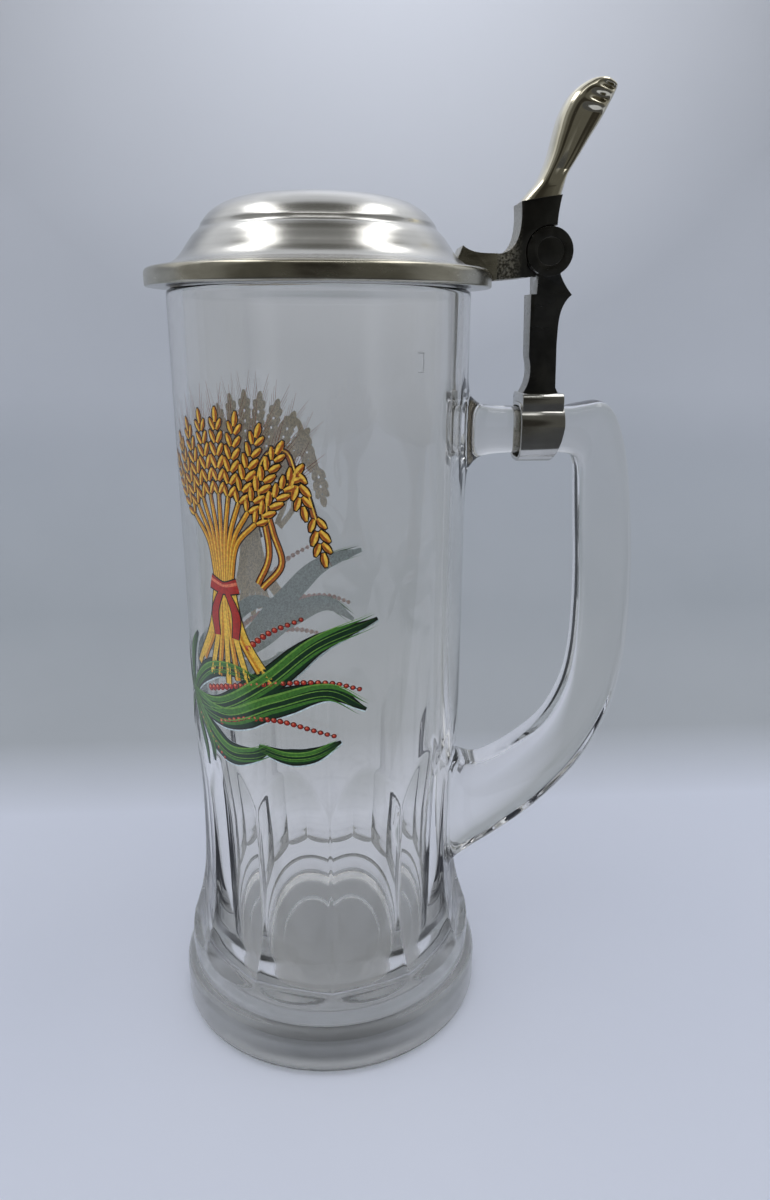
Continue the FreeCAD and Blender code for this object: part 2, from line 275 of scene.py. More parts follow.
class Surface(Nodes):
    """Node tree of a new material, round its Principled shader."""

    def __init__(self, name):
        self.material = bpy.data.materials.new(name)
        self.material.use_nodes = True
        super().__init__(self.material.node_tree)
        self.shader = self.tree.nodes["Principled BSDF"]
        self.output = self.tree.nodes["Material Output"]

    def set(self, **values):
        """Sets inputs of the shader, with _ for each space in their names."""
        for key, value in values.items():
            self.feed(self.shader.inputs[key.replace("_", " ")], value)

    def bump(self, height, strength, distance):
        node = self.add("ShaderNodeBump", in_Strength=strength, in_Distance=distance)
        self.link(height, node.inputs["Height"])
        self.set(Normal=node.outputs["Normal"])

    def clear_where(self, factor, colour):
        """Turns the surface into a plain see-through one where the factor is 1."""
        clear = self.add("ShaderNodeBsdfTransparent")
        self.feed(clear.inputs["Color"], colour)
        mixer = self.add("ShaderNodeMixShader")
        self.link(factor, mixer.inputs[0])
        self.link(self.shader.outputs["BSDF"], mixer.inputs[1])
        self.link(clear.outputs["BSDF"], mixer.inputs[2])
        self.link(mixer.outputs["Shader"], self.output.inputs["Surface"])


def glass_material(name, roughness, tint):
    """Thick clear glass. Shadow rays pass through it, so that light reaches what is inside and behind."""
    n = Surface(name)
    n.set(Base_Color=tint, Roughness=roughness, IOR=1.5, Transmission_Weight=1.0)
    n.bump(n.noise(38.0, 1.0, (1.0, 1.0, 0.45)), 0.06, 0.0006)
    absorb = n.add("ShaderNodeVolumeAbsorption", in_Density=5.0)
    n.feed(absorb.inputs["Color"], (0.81, 0.815, 0.79))
    n.link(absorb.outputs["Volume"], n.output.inputs["Volume"])
    n.clear_where(n.add("ShaderNodeLightPath").outputs["Is Shadow Ray"], (0.984, 0.984, 0.988))
    return n.material


def pewter_material():
    """Satin lid metal, turned on a lathe, so its fine lines run round the axis."""
    n = Surface("turned_pewter")
    x, y, z = n.split(n.place())
    radius = n.math("SQRT", n.math("ADD", n.math("POWER", x, 2.0), n.math("POWER", y, 2.0)))
    combine = n.add("ShaderNodeCombineXYZ")
    n.link(n.math("ADD", radius, z), combine.inputs["X"])
    lines = n.noise(2600.0, 4.0, place=combine.outputs["Vector"])
    cloudy = n.ramp(n.noise(90.0, 4.0), [(0.3, (0.56, 0.55, 0.52)), (0.7, (0.70, 0.69, 0.66))])
    lined = n.ramp(lines, [(0.35, (0.50, 0.49, 0.46)), (0.65, (0.78, 0.77, 0.74))])
    n.set(Base_Color=n.mix(0.25, cloudy, lined), Roughness=n.remap(lines, 0.3, 0.7, 0.19, 0.28),
          Metallic=1.0)
    n.bump(lines, 0.12, 0.00004)
    return n.material


def flange_material():
    """The lid's thick edge: shinier, warmer and a little tarnished."""
    n = Surface("flange_pewter")
    cloud = n.noise(160.0, 5.0, (1.0, 1.0, 2.5))
    tone = n.ramp(cloud, [(0.3, (0.42, 0.395, 0.32)), (0.7, (0.60, 0.57, 0.47))])
    n.set(Base_Color=tone, Roughness=n.remap(cloud, 0.25, 0.75, 0.16, 0.30), Metallic=1.0)
    n.bump(n.noise(700.0, 4.0), 0.10, 0.0001)
    return n.material


def patina_shade_and_sheen(n, painted_sheen_tone):
    """Dark patina with painted shade on the faces that look along Y, and painted sheen, a lighter tone, on
    the others.
    """
    dark = n.ramp(n.noise(220.0, 4.0), [(0.3, (0.075, 0.077, 0.075)), (0.75, (0.15, 0.148, 0.14))])
    across = n.split(n.add("ShaderNodeTexCoord").outputs["Normal"])[1]
    # Painted sheen: faces that don't look along Y get the lighter tone, the rest keep the patina with its
    # painted shade.
    painted_sheen_share = n.remap(n.math("ABSOLUTE", across), 0.55, 0.9, 1.0, 0.0)
    return n.mix(painted_sheen_share, dark, painted_sheen_tone)


def patina_material():
    """Dark hinge metal with fine scratches: patina with painted shade, and its narrow faces painted
    brighter as painted sheen.
    """
    n = Surface("dark_hinge_metal")
    scratch = n.noise(900.0, 4.0, (0.12, 1.0, 1.0))
    n.set(Base_Color=patina_shade_and_sheen(n, (0.40, 0.39, 0.35)), Roughness=n.remap(scratch, 0.3, 0.7, 0.24, 0.40),
          Metallic=1.0)
    n.bump(scratch, 0.2, 0.00006)
    return n.material


def casting_material():
    """The hinge block: dark ground sides with patina and painted shade, a rough-cast corner beside the tang
    and a front painted light as painted sheen.
    """
    n = Surface("hinge_casting")
    rough_share = n.remap(n.split(n.place())[0], 0.0460, 0.0485, 1.0, 0.0)
    speckle = n.ramp(n.noise(1900.0, 3.0), [(0.42, (0.16, 0.15, 0.12)), (0.60, (0.62, 0.59, 0.50))])
    n.set(Base_Color=n.mix(rough_share, patina_shade_and_sheen(n, (0.46, 0.45, 0.40)), speckle),
          Roughness=n.remap(rough_share, 0.0, 1.0, 0.30, 0.48), Metallic=1.0)
    n.bump(n.math("MULTIPLY", n.noise(1500.0, 3.0), rough_share), 0.9, 0.0003)
    return n.material


def polished_material(name, low, high, rough_low, rough_high, scale=140.0):
    """Bright hinge or band metal with faint clouds and hairlines."""
    n = Surface(name)
    tone = n.ramp(n.noise(scale, 4.0), [(0.3, low), (0.7, high)])
    hair = n.noise(1200.0, 3.0, (0.15, 1.0, 1.0))
    n.set(Base_Color=tone, Roughness=n.remap(hair, 0.3, 0.7, rough_low, rough_high), Metallic=1.0)
    n.bump(hair, 0.08, 0.00004)
    return n.material


def print_material():
    """Enamel print: colours come from the mesh, broken up by the screen's grain."""
    n = Surface("enamel_print")
    colours = n.add("ShaderNodeVertexColor", layer_name="print_colour").outputs["Color"]
    grain = n.ramp(n.noise(1600.0, 2.0), [(0.35, (0.74, 0.74, 0.74)), (0.65, (1.08, 1.08, 1.08))])
    n.set(Base_Color=n.mix(1.0, colours, grain, "MULTIPLY"), Roughness=0.32,
          Coat_Weight=0.5, Coat_Roughness=0.12)
    return n.material


# ---------------------------------------------------------------- glass vessel

def smooth_minimum(a, b, width):
    """The smaller of two values, rounded where they cross."""
    blend = np.clip(0.5 + 0.5 * (b - a) / width, 0, 1)
    return b * (1 - blend) + a * blend - width * blend * (1 - blend)


def outer_profile():
    """Outside of the body from the table edge to the rim, as (radius, height)."""
    bottom = arc_points((40.6, 2.4), 2.4, -90, 0, 9)
    ring = smooth_path([(43.0, 2.6), (43.0, 6.0), (43.0, 9.0)], 6)
    shoulder = smooth_path([(42.95, 9.8), (42.55, 11.2), (41.7, 12.4), (40.7, 13.2), (40.45, 13.6),
                            (40.55, 14.2)], 16)
    bulge = smooth_path([(40.62, 14.6), (40.88, 17.5), (40.4, 22.5), (38.9, 28.4), (37.3, 34.0),
                         (36.5, 43.0)], 56)
    wall = smooth_path([(36.47, 43.6), (36.3, 52.0), (36.25, 60.0), (36.32, 72.0), (36.4, 85.0),
                        (36.42, 90.0)], 66)
    upper = smooth_path([(36.43, 92.0), (36.5, 140.0), (36.6, 195.0)], 26)
    rim = arc_points((35.3, 195.2), 1.3, 0, 90, 8)
    return np.vstack([bottom, ring, shoulder, bulge, wall, upper, rim])


def inner_profile():
    """Inside of the body from the rim down to the floor."""
    rim = arc_points((34.2, 195.2), 1.3, 90, 180, 8)
    bore = smooth_path([(32.9, 194.0), (32.9, 150.0), (32.9, 105.0), (32.5, 76.0), (31.9, 52.0),
                        (31.5, 38.0)], 44)
    floor = smooth_path([(31.47, 36.5), (31.3, 25.0), (30.9, 17.0), (28.8, 12.3), (24.0, FLOOR_HEIGHT),
                         (16.0, FLOOR_HEIGHT), (9.0, FLOOR_HEIGHT), (1.0, FLOOR_HEIGHT)], 52)
    return np.vstack([rim, bore, floor])


def recess_profile():
    """Underside from the foot's edge inwards: a shallow hollow with a small step."""
    foot = smooth_path([(38.5, 0.0), (36.5, 0.3), (32.0, 0.7), (22.0, 0.8)], 12)
    step = smooth_path([(21.4, 0.95), (20.8, 1.45), (20.2, 1.6), (12.0, RECESS_DEPTH),
                        (2.0, RECESS_DEPTH)], 14)
    return np.vstack([foot, step])


# Height, and distance of a panel's middle from the axis: a ledge, a tall face and the arch over it
PANEL = smooth_path([(19.5, 42.4), (20.8, 40.9), (22.0, 39.4), (23.6, 38.6), (27.0, 37.6), (31.0, 36.5),
                     (39.0, 35.25), (50.0, 34.75), (62.0, 34.7), (72.0, 35.2), (84.5, 37.0),
                     (88.0, 37.7)], 240)


def faceted_radius(radius, height, angles):
    """Radius of the body at a height: the turned shape, cut by the nearest of the flat panels."""
    plain = np.full(len(angles), radius)
    if not FACET_LOW <= height <= FACET_HIGH:
        return plain
    apothem = np.interp(height, PANEL[:, 0], PANEL[:, 1])
    off_centre = (angles + math.pi / 2) % FACET_PITCH - FACET_PITCH / 2
    hollow = FLUTE_DEPTH * (1 - (2 * off_centre / FACET_PITCH) ** 2)
    flat = apothem / np.cos(off_centre) - hollow
    return smooth_minimum(plain, flat, FACET_EDGE)


def body_mesh(material):
    """Closed tankard: outside, underside and inside, without the handle."""
    outer, under, inner = outer_profile(), recess_profile(), inner_profile()
    points = lathe(outer, OUTER_SEGMENTS, faceted_radius)
    faces = loop_faces(len(outer), OUTER_SEGMENTS)

    under_start = len(points)
    points += lathe(under, OUTER_SEGMENTS)
    faces += [f[::-1] for f in loop_faces(len(under), OUTER_SEGMENTS, under_start)]
    faces += band_faces(under_start, 0, OUTER_SEGMENTS)
    under_last = under_start + (len(under) - 1) * OUTER_SEGMENTS
    fan(points, faces, (0, 0, RECESS_DEPTH), under_last, OUTER_SEGMENTS, True)

    inner_start = len(points)
    points += lathe(inner, INNER_SEGMENTS)
    faces += loop_faces(len(inner), INNER_SEGMENTS, inner_start)
    inner_last = inner_start + (len(inner) - 1) * INNER_SEGMENTS
    fan(points, faces, (0, 0, FLOOR_HEIGHT), inner_last, INNER_SEGMENTS, False)

    top = (len(outer) - 1) * OUTER_SEGMENTS
    for j in range(INNER_SEGMENTS):
        k = (j + 1) % INNER_SEGMENTS
        a, b, c = top + 2 * j, top + 2 * j + 1, top + 2 * k
        faces.append((a, b, inner_start + j))
        faces.append((b, c, inner_start + k, inner_start + j))
    return make_piece("glass_vessel", points, faces, None, material)


HANDLE_STATIONS = [
    # outer edge, inner edge, half depth
    ((33.9, 176.5), (33.9, 148.5), 9.4),
    ((36.4, 173.2), (36.4, 152.4), 8.6),
    ((37.9, 170.9), (37.9, 154.9), 7.5),
    ((40.6, 169.4), (40.6, 156.5), 6.7),
    ((45.0, 168.8), (45.0, 157.1), 6.3),
    ((51.0, 168.75), (51.0, 157.2), 6.25),
    ((57.0, 168.75), (57.0, 157.2), 6.25),
    ((62.6, 168.9), (61.4, 157.2), 6.3),
    ((67.2, 169.7), (64.4, 156.4), 6.3),
    ((71.6, 170.0), (65.8, 154.6), 6.3),
    ((75.4, 165.8), (66.3, 152.0), 6.3),
    ((78.6, 156.0), (66.5, 147.5), 6.3),
    ((80.6, 143.5), (67.0, 139.5), 6.3),
    ((82.2, 128.0), (67.9, 127.0), 6.3),
    ((82.65, 113.0), (68.3, 114.0), 6.3),
    ((82.0, 98.0), (67.9, 102.0), 6.3),
    ((78.9, 83.5), (65.9, 92.0), 6.3),
    ((71.4, 68.7), (60.8, 82.2), 6.3),
    ((60.0, 55.8), (52.2, 74.8), 6.4),
    ((48.0, 46.6), (43.6, 70.2), 6.7),
    ((40.6, 42.0), (38.2, 70.9), 7.3),
    ((36.4, 38.8), (36.0, 72.6), 8.2),
    ((33.4, 35.6), (33.4, 75.5), 9.0),
]


def signed_power(value, power):
    return math.copysign(abs(value) ** power, value)


def tube(stations, ring_count, section):
    """Rings round stations of (first edge, second edge, half depth), with an end face on the first.

    section takes a point's angle round the ring, the ring's share of the way and its half depth. It
    gives the point as -1 to 1 from the second edge to the first, and -1 to 1 across.
    """
    points = []
    for index, (ax, az, bx, bz, depth) in enumerate(stations):
        share = index / (len(stations) - 1)
        for k in range(ring_count):
            along, across = section(2 * math.pi * k / ring_count, share, depth)
            mx, mz = (ax + bx) / 2, (az + bz) / 2
            points.append((mx + along * (ax - bx) / 2, across * depth, mz + along * (az - bz) / 2))
    faces = loop_faces(len(stations), ring_count)
    faces.append(tuple(reversed(range(ring_count))))
    return points, faces


def handle_section(angle, share, depth):
    """Rounded rectangle, the same all the way."""
    power = 2.0 / 3.9
    return signed_power(math.cos(angle), power), signed_power(math.sin(angle), power)


def handle_mesh(material):
    """The section carried round the handle, flaring at both roots."""
    ring_count = 44
    stations = smooth_path([(*outer, *inner, depth) for outer, inner, depth in HANDLE_STATIONS], 150)
    points, faces = tube(stations, ring_count, handle_section)
    last = (len(stations) - 1) * ring_count
    faces.append(tuple(last + k for k in range(ring_count)))
    return make_piece("handle_tool", points, faces, None, material)


def recalculate(mesh):
    """Turns all faces outwards."""
    bm = bmesh.new()
    bm.from_mesh(mesh)
    bmesh.ops.recalc_face_normals(bm, faces=bm.faces)
    bm.to_mesh(mesh)
    bm.free()


def glass_vessel():
    """Body and handle joined into one closed glass, with a stippled underside."""
    glass = glass_material("clear_glass", 0.0, (0.99, 0.979, 0.95))
    stippled = glass_material("stippled_glass", STIPPLE_ROUGHNESS, (0.985, 0.985, 1.0))
    body = body_mesh(glass)
    tool_mark = bpy.data.materials.new("handle_mark")
    handle = handle_mesh(tool_mark)
    recalculate(body.data)
    recalculate(handle.data)
    body.data.materials.append(tool_mark)
    join = body.modifiers.new("join", "BOOLEAN")
    join.operation = "UNION"
    join.solver = "EXACT"
    join.object = handle
    join.material_mode = "TRANSFER"
    mesh = apply_modifiers(body)
    bpy.data.objects.remove(handle)
    soften_root(mesh, tool_mark.name)
    mesh.materials.append(stippled)
    for polygon in mesh.polygons:
        if max(mesh.vertices[k].co.z for k in polygon.vertices) < STIPPLE_TOP * MM:
            polygon.material_index = 1
    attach(body, "mug")
    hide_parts("mug_body", "mug_handle")


def soften_root(mesh, mark):
    """Rounds the line where the handle was stuck on, as hot glass does."""
    reach = 4
    passes = 10
    slots = [m.name if m else "" for m in mesh.materials]
    marked = slots.index(mark) if mark in slots else -1
    bm = bmesh.new()
    bm.from_mesh(mesh)
    front = {v for v in bm.verts if len({f.material_index == marked for f in v.link_faces}) == 2}
    near = set(front)
    for _ in range(reach):
        front = {e.other_vert(v) for v in front for e in v.link_edges} - near
        near |= front
    for _ in range(passes):
        bmesh.ops.smooth_vert(bm, verts=list(near), factor=0.5,
                              use_axis_x=True, use_axis_y=True, use_axis_z=True)
    for face in bm.faces:
        face.material_index = 0
        face.smooth = True
    bm.to_mesh(mesh)
    bm.free()
    while len(mesh.materials) > 1:
        mesh.materials.pop()


# ---------------------------------------------------------------- lid

def lid_outer():
    """Outside from the flange's lower edge to the crown, as (radius, height)."""
    edge = np.vstack([
        arc_points((40.9, 197.3), 0.5, -90, 0, 6),
        smooth_path([(41.4, 198.0), (41.4, 199.4), (41.3, 200.1), (40.9, 200.65), (40.3, 200.9)], 14),
    ])
    brim = smooth_path([(39.9, 200.97), (38.5, 201.2), (37.0, 201.5), (34.8, 202.3), (33.0, 203.8),
                        (31.4, 206.0), (29.9, 208.0), (28.7, 209.2)], 46)
    step = smooth_path([(28.56, 209.3), (28.32, 209.52), (28.1, 209.86), (27.94, 210.22),
                        (27.84, 210.5)], 10)
    crown = smooth_path([(27.75, 210.75), (26.2, 212.6), (24.3, 214.1), (21.5, 215.5), (17.5, 216.45),
                         (10.0, 217.0), (4.0, 217.15), (0.6, CROWN_TOP)], 48)
    return np.vstack([edge, brim, step, crown])


def lid_inner():
    """Hollow from its top down to the flange's flat underside."""
    dome = smooth_path([(0.6, HOLLOW_TOP), (9.0, 215.35), (17.2, 214.7), (22.6, 213.0), (25.2, 211.0),
                        (27.2, 208.4), (29.2, 206.0), (30.6, 203.6), (31.3, 201.0), (31.4, 199.9)], 40)
    mouth = smooth_path([(31.4, 199.0), (31.4, 197.6), (31.6, 197.0), (32.2, 196.8)], 8)
    return np.vstack([dome, mouth])


def lid_shell():
    segments = 224
    outer, inner = lid_outer(), lid_inner()
    points = lathe(np.vstack([outer, inner]), segments)
    inside = len(outer) * segments
    faces = loop_faces(len(outer), segments) + loop_faces(len(inner), segments, inside)
    faces += band_faces(inside + (len(inner) - 1) * segments, 0, segments)
    fan(points, faces, (0, 0, CROWN_TOP), inside - segments, segments, False)
    fan(points, faces, (0, 0, HOLLOW_TOP), inside, segments, True)
    piece = make_piece("lid_shell", points, faces, "lid", pewter_material())
    piece.data.materials.append(flange_material())
    for polygon in piece.data.polygons:
        x, y, z = polygon.center / MM
        if math.hypot(x, y) > FLANGE_INSIDE and z < FLANGE_HIGHEST:
            polygon.material_index = 1
    recalculate(piece.data)
    mark_sharp(piece.data, 40)
    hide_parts("lid_dome")


# ---------------------------------------------------------------- hinge pieces

def bevelled_copy(node, name, body, material, width, keep_below=None):
    """A CAD node's shape with its machined edges broken. keep_below is a plane, as a place and a normal."""
    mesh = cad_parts[node].data.copy()
    piece = bpy.data.objects.new(name, mesh)
    bpy.context.scene.collection.objects.link(piece)
    bm = bmesh.new()
    bm.from_mesh(mesh)
    bmesh.ops.remove_doubles(bm, verts=bm.verts, dist=1e-6)
    if keep_below is not None:
        place, normal = (Vector(v) for v in keep_below)
        bmesh.ops.bisect_plane(bm, geom=bm.verts[:] + bm.edges[:] + bm.faces[:], dist=1e-7,
                               plane_co=place * MM, plane_no=normal, clear_outer=True)
        bmesh.ops.holes_fill(bm, edges=[e for e in bm.edges if e.is_boundary], sides=0)
    bmesh.ops.dissolve_limit(bm, angle_limit=math.radians(1.0), verts=bm.verts, edges=bm.edges)
    bmesh.ops.recalc_face_normals(bm, faces=bm.faces)
    bm.to_mesh(mesh)
    bm.free()
    mesh.materials.clear()
    mesh.materials.append(material)
    bevel = piece.modifiers.new("edges", "BEVEL")
    bevel.width = width * MM
    bevel.segments = 3
    bevel.limit_method = "ANGLE"
    bevel.angle_limit = math.radians(38)
    mesh = apply_modifiers(piece)
    mark_sharp(mesh, 32)
    for polygon in mesh.polygons:
        polygon.material_index = 0
    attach(piece, body)
    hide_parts(node)


LEVER_STATIONS = [
    # mug-facing edge, back edge, half width
    ((47.6, 216.0), (57.5, 217.7), 4.55),
    ((49.2, 218.0), (57.9, 219.3), 4.6),
    ((52.2, 221.6), (58.8, 222.5), 4.75),
    ((54.2, 226.3), (60.9, 226.0), 4.95),
    ((55.4, 231.2), (63.4, 230.2), 5.15),
    ((56.6, 235.7), (65.7, 233.9), 5.25),
    ((59.0, 239.9), (67.6, 237.5), 5.25),
    ((62.5, 242.4), (68.8, 240.0), 5.1),
    ((65.4, 243.1), (69.1, 241.1), 4.4),
    ((67.3, 242.8), (68.9, 241.8), 3.2),
]


def lever_section(angle, share, half_width):
    """Round towards the mug and flatter behind. Each side has a shallow hollow, rippled near the tip."""
    hollow_depth = 1.25
    hollow_middle = 0.68
    hollow_reach = 0.24
    ripples_from = 0.66
    fore, side = math.cos(angle), math.sin(angle)
    power = 2.0 / (3.0 if fore > 0 else 4.6)
    along, wide = signed_power(fore, power), signed_power(side, power)
    back_share = (1 - along) / 2
    hollow = math.exp(-((back_share - hollow_middle) / hollow_reach) ** 2)
    fade = min(1.0, max(0.0, (share - 0.10) / 0.14)) * min(1.0, max(0.0, (0.97 - share) / 0.08))
    ripple = 1.0
    if share > ripples_from:
        ripple = 0.45 + 0.55 * math.cos((share - ripples_from) / 0.28 * 5 * math.pi)
    depth = hollow_depth * hollow * fade * ripple * min(1.0, abs(wide) * 1.4)
    return along, wide * (half_width - depth) / half_width


def thumb_lever(material):
    ring_count = 72
    tip_reach = 0.35
    stations = smooth_path([(*front, *back, half) for front, back, half in LEVER_STATIONS], 130)
    points, faces = tube(stations, ring_count, lever_section)
    front_x, front_z, back_x, back_z, _ = stations[-1]
    tip = ((front_x + back_x) / 2 + tip_reach, 0.0, (front_z + back_z) / 2 + tip_reach)
    fan(points, faces, tip, (len(stations) - 1) * ring_count, ring_count, False)
    piece = make_piece("thumb_lever", points, faces, "lid", material)
    recalculate(piece.data)


def hinge_pieces():
    patina = patina_material()
    band = polished_material("band_strip", (0.50, 0.49, 0.46), (0.66, 0.65, 0.61), 0.10, 0.20)
    nickel = polished_material("lever_nickel", (0.66, 0.61, 0.47), (0.84, 0.79, 0.64), 0.08, 0.17, 110.0)
    tang = polished_material("tang_metal", (0.40, 0.38, 0.30), (0.58, 0.55, 0.45), 0.18, 0.32, 380.0)
    block = casting_material()
    block_top = ((52.5, 0, 217.1), (-0.16, 0, 0.987))
    bevelled_copy("handle_band", "band_strip", "mug", band, 0.18)
    bevelled_copy("band_saddle", "saddle_plate", "mug", band, 0.25)
    bevelled_copy("hinge_shank", "shank_post", "mug", patina, 0.22)
    bevelled_copy("hinge_pin", "pin_rivet", "mug", patina, 0.12)
    bevelled_copy("lid_tang", "tang_claw", "lid", tang, 0.30)
    bevelled_copy("thumb_lift", "hinge_block", "lid", block, 0.22, keep_below=block_top)
    thumb_lever(nickel)


# ---------------------------------------------------------------- printed ornament

class Print:
    """Flat coloured strips laid on the glass, in layers.

    u is the way round the glass from -X towards the front, and z is the height.
    """

    def __init__(self):
        self.points = []
        self.faces = []
        self.colours = []

    def on_glass(self, u, z, layer):
        radius = PRINT_RADIUS + PRINT_LIFT + PRINT_LAYER * layer
        angle = u / PRINT_RADIUS
        return (-radius * math.cos(angle), -radius * math.sin(angle), z)

    def strip(self, path, widths, colour, layer, shift=0.0, cells=3, ends=0.0):
        """Ribbon along a path. widths are (share, half width) pairs and shift moves it sideways."""
        step = 0.9
        count = max(5, int(path_length(path) / step))
        line = smooth_path(path, count)
        tangent = np.gradient(line, axis=0)
        tangent /= np.linalg.norm(tangent, axis=1)[:, None] + 1e-9
        normal = np.stack([-tangent[:, 1], tangent[:, 0]], 1)
        shares = np.linspace(0, 1, count)
        half = np.interp(shares, [w[0] for w in widths], [w[1] for w in widths])
        if ends:
            line[0] -= tangent[0] * ends
            line[-1] += tangent[-1] * ends
        start = len(self.points)
        for i in range(count):
            for k in range(cells + 1):
                side = 2 * k / cells - 1
                u, z = line[i] + normal[i] * (side * half[i] + shift)
                self.points.append(self.on_glass(u, z, layer))
        for i in range(count - 1):
            for k in range(cells):
                a = start + i * (cells + 1) + k
                self.faces.append((a, a + 1, a + cells + 2, a + cells + 1))
                self.colours.append(colour)

    def dot(self, u, z, radius, colour, layer, squeeze=1.0):
        """Disc, or an oval where squeeze is less than 1."""
        start = len(self.points)
        sides = 12
        self.points.append(self.on_glass(u, z, layer))
        for k in range(sides):
            angle = 2 * math.pi * k / sides
            self.points.append(self.on_glass(u + radius * math.cos(angle),
                                             z + radius * squeeze * math.sin(angle), layer))
        for k in range(sides):
            self.faces.append((start, start + 1 + k, start + 1 + (k + 1) % sides))
            self.colours.append(colour)


INK = (0.010, 0.007, 0.004)
GOLD = (0.66, 0.25, 0.008)
GOLD_LIGHT = (0.90, 0.56, 0.06)
AMBER = (0.34, 0.070, 0.005)
STEM = (0.45, 0.12, 0.015)
LEAF = (0.006, 0.040, 0.012)
LEAF_LIGHT = (0.055, 0.20, 0.022)
LEAF_EDGE = (0.16, 0.36, 0.05)
RED = (0.45, 0.022, 0.010)
RED_LIGHT = (0.80, 0.20, 0.10)
MARK = (0.72, 0.73, 0.74)
# The undermost layer, which shows through the glass from inside, is paler: the print's pale underside,
# painted lighter still with painted light that stands in for light coming through the enamel
BACK_GOLD_PAINTED_LIT = (0.92, 0.82, 0.64)
BACK_LEAF_PAINTED_LIT = (0.64, 0.76, 0.76)
BACK_RED_PAINTED_LIT = (0.92, 0.66, 0.60)


def leaf(art, path, half):
    """Pointed blade: dark green with a black outline, lit edges and fine veins."""
    wide = [(0, 0.22), (0.15, 0.58), (0.42, 1.0), (0.66, 0.86), (0.85, 0.45), (1, 0.02)]
    wide = [(share, half * width) for share, width in wide]

    def layer_of(scale, extra, colour, layer, shift=0.0, cells=4, ends=0.0):
        art.strip(path, [(share, width * scale + extra) for share, width in wide], colour, layer,
                  shift=shift, cells=cells, ends=ends)

    layer_of(1.0, 0.58, BACK_LEAF_PAINTED_LIT, 0, shift=-0.16, cells=5, ends=0.4)
    layer_of(1.0, 0.36, INK, 2, cells=5, ends=0.3)
    layer_of(1.0, 0.0, LEAF, 3, cells=5)
    layer_of(0.27, 0.0, LEAF_LIGHT, 4, shift=half * 0.42)
    layer_of(0.13, 0.0, LEAF_LIGHT, 4, shift=-half * 0.52)
    layer_of(0.08, 0.0, LEAF_EDGE, 5, shift=half * 0.60, cells=2)
    layer_of(0.05, 0.0, LEAF_EDGE, 5, shift=half * 0.12, cells=2)
    layer_of(0.05, 0.0, LEAF_EDGE, 5, shift=-half * 0.28, cells=2)


def berries(art, path, radius=0.85):
    """String of small red berries that shrink towards its end."""
    count = max(4, int(path_length(path) / (radius * 1.85)))
    art.strip(path, [(0, 0.10), (1, 0.08)], INK, 2, cells=1)
    for i, (u, z) in enumerate(smooth_path(path, count)):
        r = radius * (1 - 0.45 * i / (count - 1))
        art.dot(u, z, r + 0.22, BACK_RED_PAINTED_LIT, 1)
        art.dot(u, z, r + 0.20, INK, 2, 0.9)
        art.dot(u, z, r, RED, 3, 0.9)
        art.dot(u - 0.22 * r, z + 0.30 * r, 0.42 * r, RED_LIGHT, 4)


def kernel(art, u, z, angle, length, half):
    """One grain of an ear of barley, leaning at an angle from upright."""
    du, dz = math.sin(angle) * length, math.cos(angle) * length
    path = [(u, z), (u + du * 0.5, z + dz * 0.5), (u + du, z + dz)]
    shape = [(0, 0.35), (0.4, 1.0), (0.75, 0.7), (1, 0.08)]
    art.strip(path, [(s, half * w + 0.36) for s, w in shape], BACK_GOLD_PAINTED_LIT, 1, cells=2, ends=0.2)
    art.strip(path, [(s, half * w + 0.32) for s, w in shape], INK, 4, cells=2, ends=0.25)
    art.strip(path, [(s, half * w) for s, w in shape], GOLD, 5, cells=2)
    art.strip(path, [(s, half * w * 0.42) for s, w in shape], GOLD_LIGHT, 6, shift=half * 0.34, cells=1)
    art.strip(path, [(s, half * w * 0.30) for s, w in shape], AMBER, 6, shift=-half * 0.42, cells=1)


def ear(art, base, angle, length, grains):
    """Ear of barley: two rows of grains up a stem, a last grain at the tip and fine awns."""
    grain_lean = 0.52
    awn_lean = 0.22
    su, sz = math.sin(angle), math.cos(angle)
    for i in range(grains):
        share = i / grains
        u = base[0] + su * length * share
        z = base[1] + sz * length * share
        size = 1.0 - 0.35 * abs(share - 0.35)
        awn_length = length * 0.75 * size
        for side in (-1, 1):
            way = angle + side * awn_lean
            awn = [(u, z), (u + math.sin(way) * awn_length, z + math.cos(way) * awn_length)]
            art.strip(awn, [(0, 0.10), (1, 0.03)], AMBER, 3, cells=1)
            kernel(art, u + side * sz * 0.35, z - side * su * 0.35, angle + side * grain_lean,
                   3.4 * size, 0.88 * size)
    kernel(art, base[0] + su * length * 0.93, base[1] + sz * length * 0.93, angle, 3.3, 0.85)


def stalk(art, path, half, colour=GOLD):
    """Round stem with a dark outline and a light along one side."""
    art.strip(path, [(0, half + 0.28), (1, half + 0.24)], BACK_GOLD_PAINTED_LIT, 1, cells=2)
    art.strip(path, [(0, half + 0.26), (1, half + 0.22)], INK, 2, cells=2)
    art.strip(path, [(0, half), (1, half * 0.85)], colour, 3, cells=2)
    art.strip(path, [(0, half * 0.3), (1, half * 0.25)], GOLD_LIGHT, 4, shift=half * 0.35, cells=1)


